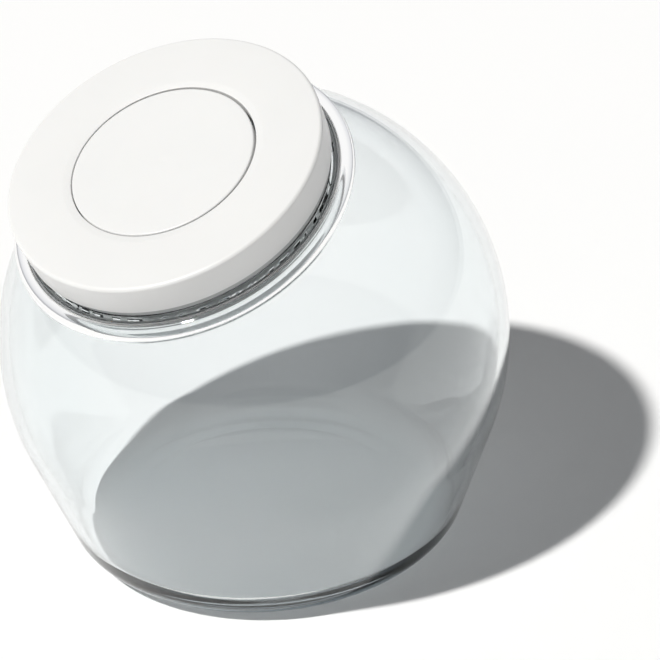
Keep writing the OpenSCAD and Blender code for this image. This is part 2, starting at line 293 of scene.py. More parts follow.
@dataclass(frozen=True)
class Moulded:
    """Opaque moulded plastic: a fine spark-eroded grain over faint flow marks."""

    name: str
    low: tuple[float, float, float]
    high: tuple[float, float, float]
    gloss: tuple[float, float]
    grain: float = 6e-6
    grain_scale: float = 2600.0
    flow: float = 2.5e-5
    glow: float = 0.0

    def build(self) -> bpy.types.Material:
        """Makes the material.

        Returns:
            The material.
        """
        nodes = Nodes(self.name)
        nodes.constants(IOR=1.49)
        cloud = nodes.noise(22, 4.0)
        nodes.link(nodes.colours(cloud, self.low, self.high), nodes.shader.inputs["Base Color"])
        if self.glow:
            nodes.constants(Subsurface_Weight=self.glow, Subsurface_Radius=(0.004, 0.0035, 0.003),
                            Subsurface_Scale=0.4)
        handled = nodes.noise(60, 6.0)
        nodes.link(nodes.between(handled, *self.gloss), nodes.shader.inputs["Roughness"])
        nodes.bump((nodes.noise(30, 2.0), self.flow, 0.35),
                   (nodes.noise(self.grain_scale, 3.0), self.grain, 0.5))
        return nodes.material


@dataclass(frozen=True)
class SoftRubber:
    """Silicone or rubber with a dusty bloom."""

    name: str
    low: tuple[float, float, float]
    high: tuple[float, float, float]
    clear: float = 0.0
    glow: float = 0.0

    def build(self) -> bpy.types.Material:
        """Makes the material.

        Returns:
            The material.
        """
        nodes = Nodes(self.name)
        nodes.constants(IOR=1.41, Transmission_Weight=self.clear, Sheen_Weight=0.15)
        if self.glow:
            nodes.constants(Subsurface_Weight=self.glow, Subsurface_Radius=(0.006, 0.006, 0.006),
                            Subsurface_Scale=0.5)
        bloom = nodes.noise(120, 6.0)
        nodes.link(nodes.colours(bloom, self.low, self.high), nodes.shader.inputs["Base Color"])
        nodes.link(nodes.between(bloom, 0.42, 0.6), nodes.shader.inputs["Roughness"])
        nodes.bump((nodes.noise(1500, 3.0), 1e-5, 0.4))
        return nodes.material


@dataclass(frozen=True)
class Steel:
    """Plain stainless steel with drawn or turned marks."""

    name: str
    tone: tuple[float, float, float]
    marks: tuple[float, float, float] = (1, 1, 12)
    rough: tuple[float, float] = (0.22, 0.38)

    def build(self) -> bpy.types.Material:
        """Makes the material.

        Returns:
            The material.
        """
        nodes = Nodes(self.name)
        nodes.constants(Metallic=1.0)
        drawn = nodes.noise(320, 4.0, self.marks)
        bright = tuple(min(1.0, c * 1.12) for c in self.tone)
        nodes.link(nodes.colours(drawn, self.tone, bright), nodes.shader.inputs["Base Color"])
        nodes.link(nodes.between(drawn, *self.rough), nodes.shader.inputs["Roughness"])
        nodes.bump((drawn, 8e-6, 0.35))
        return nodes.material


class Finish(Enum):
    """Every finish on the canister; a member's value makes its material."""

    GLASS = ClearWall("blown_glass", (0.965, 0.985, 0.985), 1.5, (0.0, 0.012), 2.2e-4, 9.0,
                      soak_colour=(0.74, 0.80, 0.83), soak_density=26.0)
    CLEAR = ClearWall("clear_carrier_plastic", (0.93, 0.96, 0.965), 1.53, (0.02, 0.07), 3e-5,
                      40.0, 4e-6, clear=0.55)
    COVER = Moulded("satin_white_cover", (0.735, 0.735, 0.728), (0.755, 0.754, 0.745),
                    (0.34, 0.46), glow=0.08)
    BUTTON = Moulded("satin_white_button", (0.738, 0.74, 0.734), (0.758, 0.758, 0.75),
                     (0.30, 0.42), glow=0.08)
    INNER_WHITE = Moulded("inner_white_plastic", (0.62, 0.63, 0.64), (0.70, 0.71, 0.71),
                          (0.32, 0.5))
    INNER_GREY = Moulded("slippery_grey_plastic", (0.10, 0.115, 0.135), (0.14, 0.155, 0.175),
                         (0.25, 0.4))
    LEVER = Moulded("glass_filled_plastic", (0.42, 0.45, 0.48), (0.54, 0.57, 0.59),
                    (0.4, 0.6), grain=1.2e-5, grain_scale=1500)
    SILICONE = SoftRubber("translucent_silicone", (0.80, 0.81, 0.80), (0.88, 0.885, 0.875), 0.15,
                          0.35)
    BUFFER = SoftRubber("soft_black_rubber", (0.018, 0.018, 0.02), (0.03, 0.03, 0.033))
    WIRE = Steel("spring_wire", (0.56, 0.57, 0.58))
    TURNED = Steel("turned_steel", (0.60, 0.61, 0.62), (3, 3, 1))

    @property
    def material(self) -> bpy.types.Material:
        """The finish's material, made once."""
        found = bpy.data.materials.get(self.value.name)
        return found or self.value.build()


# --------------------------------------------------------------------- mesh makers


class Mouth:
    """The mouth's own frame: its origin is the middle of the rim and z points out."""

    ROTOR_PIVOT = 3.0 * MM

    def __init__(self) -> None:
        """Reads the axis and its place from the frame's joints."""
        joints = {j["name"]: j for j in frame["joints"]}
        self.axis = Vector(joints["lid_lift"]["axis"]).normalized()
        pivot = Vector(joints["rotor_turn"]["pos_m"])
        self.origin = pivot - self.axis * self.ROTOR_PIVOT
        side = Vector((1, 0, 0))
        self.tilt = math.asin(-self.axis.y)
        back = self.axis.cross(side)
        self.matrix = Matrix((
            (side.x, back.x, self.axis.x, self.origin.x),
            (side.y, back.y, self.axis.y, self.origin.y),
            (side.z, back.z, self.axis.z, self.origin.z),
            (0, 0, 0, 1),
        ))

    def on_axis(self, height: float) -> Vector:
        """The point on the axis at a height over the rim."""
        return self.origin + self.axis * height

    def reach(self, node: str) -> tuple[float, float, float]:
        """Measures a node in this frame.

        Args:
            node: The CAD node's name.

        Returns:
            Its largest radius, lowest height and greatest height.
        """
        back = self.matrix.inverted()
        points = [back @ v.co for v in frame["nodes"][node].data.vertices]
        return (max(math.hypot(p.x, p.y) for p in points), min(p.z for p in points),
                max(p.z for p in points))


def arc(centre: Point2, radius: float, start: float, end: float, steps: int) -> list[Point2]:
    """Points along an arc.

    Args:
        centre: The arc's centre.
        radius: Its radius.
        start: First angle, in degrees.
        end: Last angle.
        steps: Number of chords.

    Returns:
        The points, both ends included.
    """
    angles = [math.radians(start + (end - start) * i / steps) for i in range(steps + 1)]
    return [(centre[0] + radius * math.cos(a), centre[1] + radius * math.sin(a)) for a in angles]


def rounded(corners: Iterable[Corner], steps: int = 6, closed: bool = True) -> list[Point2]:
    """An outline with its corners rounded.

    Args:
        corners: Each corner's radius from the axis, its height and the radius of its round.
        steps: Chords in each round.
        closed: False if the outline starts and ends on the axis.

    Returns:
        The outline's points.
    """
    places = list(corners)
    points: list[Point2] = []
    for i, (r, z, bend) in enumerate(places):
        here = Vector((r, z))
        if bend <= 0 or (not closed and i in (0, len(places) - 1)):
            points.append((r, z))
            continue
        before = (Vector(places[i - 1][:2]) - here).normalized()
        after = (Vector(places[(i + 1) % len(places)][:2]) - here).normalized()
        half = math.acos(max(-1.0, min(1.0, before.dot(after)))) / 2
        middle = here + (before + after).normalized() * (bend / math.sin(half))
        first = here + before * (bend / math.tan(half)) - middle
        last = here + after * (bend / math.tan(half)) - middle
        for k in range(steps + 1):
            way = first.slerp(last, k / steps)
            points.append(tuple(middle + way.normalized() * bend))
    return points


def meet(a: Point2, a_radius: float, b: Point2, b_radius: float, sign: int) -> Point2:
    """Where two circles cross.

    Args:
        a: First centre.
        a_radius: First radius.
        b: Second centre.
        b_radius: Second radius.
        sign: Which crossing, 1 or -1.

    Returns:
        The crossing.
    """
    gap = Vector(b) - Vector(a)
    along = (gap.length_squared + a_radius**2 - b_radius**2) / (2 * gap.length)
    side = math.sqrt(a_radius**2 - along**2)
    way = gap.normalized()
    place = Vector(a) + way * along + Vector((-way.y, way.x)) * side * sign
    return place.x, place.y


def degrees_of(centre: Point2, point: Point2) -> float:
    """The direction from centre to point, in degrees."""
    return math.degrees(math.atan2(point[1] - centre[1], point[0] - centre[0]))


def new_object(name: str, mesh: bpy.types.Mesh) -> bpy.types.Object:
    """Links a mesh to the scene as an object at the origin."""
    made = bpy.data.objects.new(name, mesh)
    bpy.context.scene.collection.objects.link(made)
    return made


def skin(name: str, rings: Sequence[Sequence[Vector]], closed: bool) -> bpy.types.Mesh:
    """A closed surface through rings of points; a ring of one point is a pole.

    Args:
        name: The mesh's name.
        rings: The rings, in order along the surface.
        closed: True if the last ring joins the first.

    Returns:
        The mesh, with its faces pointing outwards.
    """
    build = bmesh.new()
    made = [[build.verts.new(p) for p in ring] for ring in rings]
    pairs = list(zip(made, made[1:]))
    if closed:
        pairs.append((made[-1], made[0]))
    for low, high in pairs:
        count = max(len(low), len(high))
        for i in range(count):
            j = (i + 1) % count
            corners = [low[i % len(low)], low[j % len(low)], high[j % len(high)], high[i % len(high)]]
            build.faces.new(list(dict.fromkeys(corners)))
    bmesh.ops.recalc_face_normals(build, faces=build.faces)
    if build.calc_volume(signed=True) < 0:
        bmesh.ops.reverse_faces(build, faces=build.faces)
    mesh = bpy.data.meshes.new(name)
    build.to_mesh(mesh)
    build.free()
    for face in mesh.polygons:
        face.use_smooth = True
    return mesh


def lathe(name: str, outline: Sequence[Point2], place: Matrix, closed: bool = True,
          around: int = 192, crease: float = 32.0) -> bpy.types.Mesh:
    """Turns an outline about the z axis.

    Args:
        name: The mesh's name.
        outline: Radius and height of each point.
        place: Where the turned shape goes.
        closed: False if the outline starts and ends on the axis.
        around: Number of points in a ring.
        crease: Angle, in degrees, past which an edge stays sharp.

    Returns:
        The mesh.
    """
    rings = []
    for r, z in outline:
        turns = 1 if r < 1e-7 else around
        step = 2 * math.pi / turns
        rings.append([place @ Vector((r * math.cos(i * step), r * math.sin(i * step), z))
                      for i in range(turns)])
    mesh = skin(name, rings, closed)
    mesh.set_sharp_from_angle(angle=math.radians(crease))
    return mesh


def dress(obj: bpy.types.Object, finish: Finish) -> bpy.types.Object:
    """Gives every face of an object one finish."""
    obj.data.materials.clear()
    obj.data.materials.append(finish.material)
    return obj


class Repeater:
    """A Geometry Nodes tree that sets copies of a small part round the mouth's axis."""

    def __init__(self, mouth: Mouth) -> None:
        """Builds the tree once.

        Args:
            mouth: The frame that the copies turn about.
        """
        self.mouth = mouth
        tree = bpy.data.node_groups.new("repeat_round_the_axis", "GeometryNodeTree")
        self.tree = tree
        face = tree.interface
        face.new_socket("Geometry", in_out="INPUT", socket_type="NodeSocketGeometry")
        self.ids = {}
        for label, kind, value in (("Count", "NodeSocketInt", 3), ("Radius", "NodeSocketFloat", 0.03),
                                   ("First angle", "NodeSocketFloat", 0.0),
                                   ("Finish", "NodeSocketMaterial", None)):
            socket = face.new_socket(label, in_out="INPUT", socket_type=kind)
            if value is not None:
                socket.default_value = value
            self.ids[label] = socket.identifier
        face.new_socket("Geometry", in_out="OUTPUT", socket_type="NodeSocketGeometry")
        add, link = tree.nodes.new, tree.links.new
        given, result = add("NodeGroupInput"), add("NodeGroupOutput")
        points = add("GeometryNodePoints")
        index = add("GeometryNodeInputIndex")
        step = add("ShaderNodeMath")
        step.operation = "DIVIDE"
        step.inputs[0].default_value = 2 * math.pi
        link(given.outputs["Count"], points.inputs["Count"])
        link(given.outputs["Count"], step.inputs[1])
        turn = add("ShaderNodeMath")
        turn.operation = "MULTIPLY_ADD"
        link(index.outputs[0], turn.inputs[0])
        link(step.outputs[0], turn.inputs[1])
        link(given.outputs["First angle"], turn.inputs[2])
        parts = []
        for operation in ("COSINE", "SINE"):
            wave = add("ShaderNodeMath")
            wave.operation = operation
            link(turn.outputs[0], wave.inputs[0])
            out = add("ShaderNodeMath")
            out.operation = "MULTIPLY"
            link(wave.outputs[0], out.inputs[0])
            link(given.outputs["Radius"], out.inputs[1])
            parts.append(out.outputs[0])
        place = add("ShaderNodeCombineXYZ")
        link(parts[0], place.inputs[0])
        link(parts[1], place.inputs[1])
        link(place.outputs[0], points.inputs["Position"])
        spin = add("ShaderNodeCombineXYZ")
        link(turn.outputs[0], spin.inputs[2])
        copies = add("GeometryNodeInstanceOnPoints")
        link(points.outputs[0], copies.inputs["Points"])
        link(given.outputs["Geometry"], copies.inputs["Instance"])
        link(spin.outputs[0], copies.inputs["Rotation"])
        real, paint = add("GeometryNodeRealizeInstances"), add("GeometryNodeSetMaterial")
        link(copies.outputs[0], real.inputs[0])
        link(real.outputs[0], paint.inputs["Geometry"])
        link(given.outputs["Finish"], paint.inputs["Material"])
        link(paint.outputs[0], result.inputs[0])

    def mesh(self, name: str, part: bpy.types.Mesh, count: int, radius: float, first: float,
             finish: Finish) -> bpy.types.Mesh:
        """Repeats a part and puts the copies in the mouth's frame.

        Args:
            name: The result's name.
            part: One copy, drawn at the origin with z along the mouth's axis.
            count: Number of copies.
            radius: Their distance from the axis.
            first: Angle of the first, in degrees.
            finish: Their finish.

        Returns:
            The copies as one plain mesh.
        """
        source = new_object(name + "_source", part)
        work = source.modifiers.new("repeat", "NODES")
        work.node_group = self.tree
        work[self.ids["Count"]] = count
        work[self.ids["Radius"]] = radius
        work[self.ids["First angle"]] = math.radians(first)
        work[self.ids["Finish"]] = finish.material
        return evaluated(source, name, self.mouth.matrix)


def evaluated(source: bpy.types.Object, name: str, place: Matrix) -> bpy.types.Mesh:
    """Takes an object's evaluated mesh, moves it and removes the object.

    Args:
        source: The object with its modifiers.
        name: The new mesh's name.
        place: Where the mesh goes.

    Returns:
        The plain mesh.
    """
    graph = bpy.context.evaluated_depsgraph_get()
    mesh = bpy.data.meshes.new_from_object(source.evaluated_get(graph), depsgraph=graph)
    mesh.name = name
    mesh.transform(place)
    old = source.data
    bpy.data.objects.remove(source)
    if old.users == 0:
        bpy.data.batch_remove([old])
    return mesh


def finished(name: str, mesh: bpy.types.Mesh, finish: Finish, body: str, slot: str,
             *nodes: str) -> bpy.types.Object:
    """Makes a mesh into a piece that rides on a body.

    Args:
        name: The piece's name.
        mesh: Its mesh, in place.
        finish: Its finish.
        body: The body it moves with.
        slot: The record's material slot; not used.
        nodes: The CAD nodes that it stands for.

    Returns:
        The piece.
    """
    piece = dress(new_object(name, mesh), finish)
    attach(piece, body)
    if nodes:
        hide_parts(*nodes)
    LOG.info("%s: %d faces on %s", name, len(mesh.polygons), body)
    return piece


def merged(name: str, meshes: Sequence[bpy.types.Mesh]) -> bpy.types.Mesh:
    """Joins meshes into one and keeps their smooth and sharp edges."""
    build = bmesh.new()
    for mesh in meshes:
        build.from_mesh(mesh)
    whole = bpy.data.meshes.new(name)
    build.to_mesh(whole)
    build.free()
    bpy.data.batch_remove(list(meshes))
    return whole


# -------------------------------------------------------------------------- the jar


@dataclass
class GlassJar:
    """The blown jar: flat base, straight taper, ball, shoulder, beaded neck and rim."""

    mouth: Mouth
    ball: float = 109 * MM
    centre: float = 90.7 * MM
    taper: float = 19.6
    corner: float = 18.5 * MM
    corner_in: float = 14 * MM
    wall: float = 4.5 * MM
    base: float = 8 * MM
    foot: float = 9 * MM
    punt: float = 2.2 * MM
    neck: float = 64 * MM
    neck_wall: float = 4.5 * MM
    neck_height: float = 7.6 * MM
    shoulder: float = 4.5 * MM
    throat: float = 4 * MM
    bead: float = 1.1 * MM
    bead_out: float = 0.3 * MM
    rim_straight: float = 2.2 * MM
    foot_rise: float = 0.04 * MM
    foot_ease: float = 0.5 * MM
    unevenness: float = 0.10 * MM
    waves: tuple = ((0.5, 3, 26, 0), (0.3, 5, -41, 1), (0.2, 2, 73, 2))
    even_above: float = 0.165
    even_fade: float = 0.03
    even_within: float = 0.05
    around: int = 288
    zone_rings: int = 44

    def corner_centre(self, ball: float, floor: float, bend: float) -> Point2:
        """Centre of the round between the taper and the base, from the ball's centre.

        Args:
            ball: The ball's radius.
            floor: Height of the base.
            bend: Radius of the round.

        Returns:
            Its radius from the axis and its height.
        """
        lean = math.radians(self.taper)
        run = ((bend - ball) * math.sin(lean) - floor - bend) / math.cos(lean)
        return (ball - bend) * math.cos(lean) - run * math.sin(lean), floor + bend

    def ring(self, lean: float, radius: float, height: float) -> list[Vector]:
        """One ring about an axis through the ball's centre.

        Args:
            lean: Angle of the axis from the vertical, in radians.
            radius: The ring's radius.
            height: Its height along the axis.

        Returns:
            The ring's points, or a single one at a pole.
        """
        axis = Vector((0, -math.sin(lean), math.cos(lean)))
        back = Vector((0, math.cos(lean), math.sin(lean)))
        middle = Vector((0, 0, self.centre)) + axis * height
        if radius < 1e-7:
            return [middle]
        step = 2 * math.pi / self.around
        return [middle + Vector((radius * math.cos(i * step), 0, 0)) + back * radius
                * math.sin(i * step) for i in range(self.around)]

    def zone(self, ball: float, top: Point2) -> list[list[Vector]]:
        """The ball between the taper and the shoulder; its rings turn from the vertical
        to the mouth's axis on the way up.

        Args:
            ball: The ball's radius.
            top: Radius and height, about the mouth's axis, of the last ring.

        Returns:
            The rings, from the taper up.
        """
        low = math.radians(90 + self.taper)
        high = math.atan2(top[0], top[1])
        rings = []
        for i in range(self.zone_rings + 1):
            t = i / self.zone_rings
            angle = low + (high - low) * t
            ease = t * t * (3 - 2 * t)
            rings.append(self.ring(self.mouth.tilt * ease, ball * math.sin(angle),
                                   ball * math.cos(angle)))
        return rings

    def lower(self, ball: float, floor: float, bend: float) -> list[Point2]:
        """Half section of the corner and the taper, from the base up to the ball."""
        centre = self.corner_centre(ball, floor, bend)
        lean = math.radians(self.taper)
        start = (centre[0] + bend * math.cos(lean), centre[1] - bend * math.sin(lean))
        end = (ball * math.cos(lean), -ball * math.sin(lean))
        straight = [tuple(Vector(start).lerp(Vector(end), k / 9)) for k in range(1, 9)]
        return arc(centre, bend, -90, -self.taper, 16) + straight

    def outside(self) -> list[list[Vector]]:
        """Rings of the outer surface, from the middle of the base up to the rim."""
        floor = -self.centre
        heel = self.corner_centre(self.ball, floor, self.corner)[0]
        edge = heel - self.foot
        bowl = (edge**2 + self.punt**2) / (2 * self.punt)
        hollow = [(edge * k / 12, floor + self.punt - bowl
                   + math.sqrt(bowl**2 - (edge * k / 12)**2)) for k in range(12)]
        foot = [(edge, floor + self.foot_rise), (edge + self.foot_ease, floor),
                (heel - self.foot_ease, floor)]
        low = hollow + foot + self.lower(self.ball, floor, self.corner)
        rings = [self.ring(0, r, z) for r, z in low]
        rim = math.sqrt(self.ball**2 - self.neck**2) + self.neck_height
        bend = (self.neck + self.shoulder, math.sqrt((self.ball + self.shoulder)**2
                                                     - (self.neck + self.shoulder)**2))
        top = tuple(Vector(bend) * (self.ball / (self.ball + self.shoulder)))
        rings += self.zone(self.ball, top)
        drop = (self.neck + self.bead_out, rim - self.neck_height + self.shoulder / 2)
        under = meet(bend, self.shoulder, drop, self.bead, -1)
        if under[1] > drop[1]:
            under = meet(bend, self.shoulder, drop, self.bead, 1)
        over = (self.neck, drop[1] + math.sqrt(self.bead**2 - self.bead_out**2))
        high = arc(bend, self.shoulder, degrees_of(bend, top), degrees_of(bend, under) - 360, 10)[1:]
        high += arc(drop, self.bead, degrees_of(drop, under), degrees_of(drop, over), 10)[1:]
        lip = self.neck_wall / 2
        high += [(self.neck, rim - lip - self.rim_straight)]
        high += arc((self.neck - lip, rim - lip), lip, 0, 180, 22)
        return rings + [self.ring(self.mouth.tilt, r, z) for r, z in high]

    def inside(self) -> list[list[Vector]]:
        """Rings of the inner surface, from the rim down to the middle of the base."""
        ball = self.ball - self.wall
        bore = self.neck - self.neck_wall
        rim = math.sqrt(self.ball**2 - self.neck**2) + self.neck_height
        bend = (bore + self.throat, math.sqrt((ball + self.throat)**2 - (bore + self.throat)**2))
        top = tuple(Vector(bend) * (ball / (ball + self.throat)))
        down = [(bore, rim - self.neck_wall / 2 - k * MM) for k in (1.5, 3.0)]
        down += arc(bend, self.throat, 180, degrees_of(bend, top) + 360, 10)[:-1]
        rings = [self.ring(self.mouth.tilt, r, z) for r, z in down]
        rings += self.zone(ball, top)[::-1]
        floor = self.base - self.centre
        low = self.lower(ball, floor, self.corner_in)[::-1]
        start = low[-1][0]
        low += [(start * (1 - k / 10), floor) for k in range(1, 11)]
        rings += [self.ring(0, r, z) for r, z in low]
        return [[self.uneven(p) for p in ring] for ring in rings]

    def uneven(self, point: Vector) -> Vector:
        """Moves an inner point a little, because a blown wall is never quite even.

        Args:
            point: A point of the inner surface.

        Returns:
            The point, moved along its way from the ball's centre.
        """
        middle = Vector((0, 0, self.centre))
        way = point - middle
        turn = math.atan2(way.y, way.x)
        wave = sum(size * math.sin(lobes * turn + rate * point.z + shift)
                   for size, lobes, rate, shift in self.waves)
        below = min(1.0, max(0.0, (self.even_above - point.z) / self.even_fade))
        fade = below * min(1.0, math.hypot(way.x, way.y) / self.even_within)
        return point + way.normalized() * self.unevenness * wave * fade

    def build(self) -> None:
        """Makes the jar's one piece of glass."""
        mesh = skin("jar_glass", self.outside() + self.inside(), closed=False)
        finished("jar_glass", mesh, Finish.GLASS, "jar", "glass", "glass_jar")


# -------------------------------------------------------------------------- the lid


@dataclass
class LidCover:
    """The white outer shell of the lid and its screw bosses."""

    mouth: Mouth
    repeat: Repeater
    wall: float = 2.2 * MM
    draft: float = 0.75 * MM
    bevel_wide: float = 3.2 * MM
    bevel_deep: float = 0.35 * MM
    hole: float = 39.3 * MM
    collar: float = 41.1 * MM
    collar_foot: float = 9.6 * MM
    boss_at: float = 47 * MM
    boss: float = 3.1 * MM
    boss_hole: float = 1.25 * MM
    boss_foot: float = -0.4 * MM
    bottom: float = 3.4 * MM
    screws: int = 3
    first_screw: float = 30.0

    def build(self) -> None:
        """Makes the cover."""
        outer, _, top = self.mouth.reach("lid_cover")
        skirt = outer - self.draft
        ceiling = top - self.wall
        outline = rounded([
            (self.hole, self.collar_foot, 0.35 * MM),
            (self.hole, top - self.bevel_deep, 0.3 * MM),
            (self.hole + self.bevel_wide, top, 6 * MM),
            (outer, top, 1.5 * MM),
            (skirt, self.bottom, 0.45 * MM),
            (skirt - self.wall, self.bottom, 0.3 * MM),
            (outer - self.wall, ceiling, 0.8 * MM),
            (self.collar, ceiling, 0.6 * MM),
            (self.collar, self.collar_foot, 0.35 * MM),
        ], steps=8)
        shell = lathe("cover_shell", outline, self.mouth.matrix, around=256)
        post = lathe("boss", rounded([
            (self.boss_hole, self.boss_foot, 0.15 * MM),
            (self.boss_hole, ceiling, 0.0),
            (self.boss, ceiling, 0.0),
            (self.boss, self.boss_foot, 0.25 * MM),
        ], steps=4), Matrix.Identity(4), around=48)
        bosses = self.repeat.mesh("bosses", post, self.screws, self.boss_at, self.first_screw,
                                  Finish.COVER)
        finished("lid_shell", merged("lid_shell", [shell, bosses]), Finish.COVER, "lid",
                 "white_cover", "lid_cover")


@dataclass
class PushButton:
    """The flush white button that is the lid's handle when it is up. Its cap stands to one
    side of the hole by its play, and its ribs don't."""

    mouth: Mouth
    repeat: Repeater
    thick: float = 2.2 * MM
    skirt_wall: float = 1.8 * MM
    crown: float = 0.12 * MM
    gate: float = 1.6 * MM
    locate: float = 16.19 * MM
    locate_wall: float = 1.6 * MM
    locate_height: float = 2.6 * MM
    ribs: int = 6
    rib_wall: float = 1.4 * MM
    play: Point2 = (-0.27 * MM, -0.17 * MM)

    def build(self) -> None:
        """Makes the button's cap with its ribs."""
        outer, foot, top = self.mouth.reach("button_cap")
        under = top - self.thick
        inner = outer - self.skirt_wall
        ring = self.locate + self.locate_wall
        low = under - self.locate_height
        dish = top - self.crown
        face = [(0.0, dish - 0.05 * MM), (self.gate * 0.7, dish - 0.045 * MM), (self.gate, dish)]
        face += [(outer * k / 12, dish + self.crown * (k / 12)**2) for k in range(1, 11)]
        edge = rounded([
            (outer * 10.5 / 12, dish + self.crown * (10.5 / 12)**2, 0.0),
            (outer, top, 0.7 * MM),
            (outer, foot, 0.4 * MM),
            (inner, foot, 0.4 * MM),
            (inner, under, 0.8 * MM),
            (ring, under, 0.4 * MM),
            (ring, low, 0.3 * MM),
            (self.locate, low, 0.3 * MM),
            (self.locate, under, 0.4 * MM),
            (0.0, under, 0.0),
        ], steps=7, closed=False)
        place = self.mouth.matrix @ Matrix.Translation((self.play[0], self.play[1], 0))
        cap = lathe("cap", face + edge, place, closed=False, around=224)
        rib = self.rib(ring - 0.4 * MM, inner + 0.4 * MM, low, under + 0.3 * MM)
        ribs = self.repeat.mesh("ribs", rib, self.ribs, 0.0, 0.0, Finish.BUTTON)
        finished("push_button", merged("push_button", [cap, ribs]), Finish.BUTTON, "button",
                 "white_button", "button_cap")

    def rib(self, start: float, end: float, low: float, high: float) -> bpy.types.Mesh:
        """One stiffening rib with softened edges, along +x.

        Args:
            start: Its inner radius.
            end: Its outer radius.
            low: Its lower edge.
            high: Its upper edge.

        Returns:
            The mesh.
        """
        build = bmesh.new()
        bmesh.ops.create_cube(build, size=1.0)
        size = Matrix.Diagonal((end - start, self.rib_wall, high - low, 1))
        bmesh.ops.transform(build, matrix=Matrix.Translation(
            ((start + end) / 2, 0, (low + high) / 2)) @ size, verts=build.verts)
        bmesh.ops.bevel(build, geom=build.edges[:], offset=0.3 * MM, segments=3, profile=0.5,
                        affect="EDGES")
        mesh = bpy.data.meshes.new("rib")
        build.to_mesh(mesh)
        build.free()
        for polygon in mesh.polygons:
            polygon.use_smooth = True
        mesh.set_sharp_from_angle(angle=math.radians(50))
        return mesh


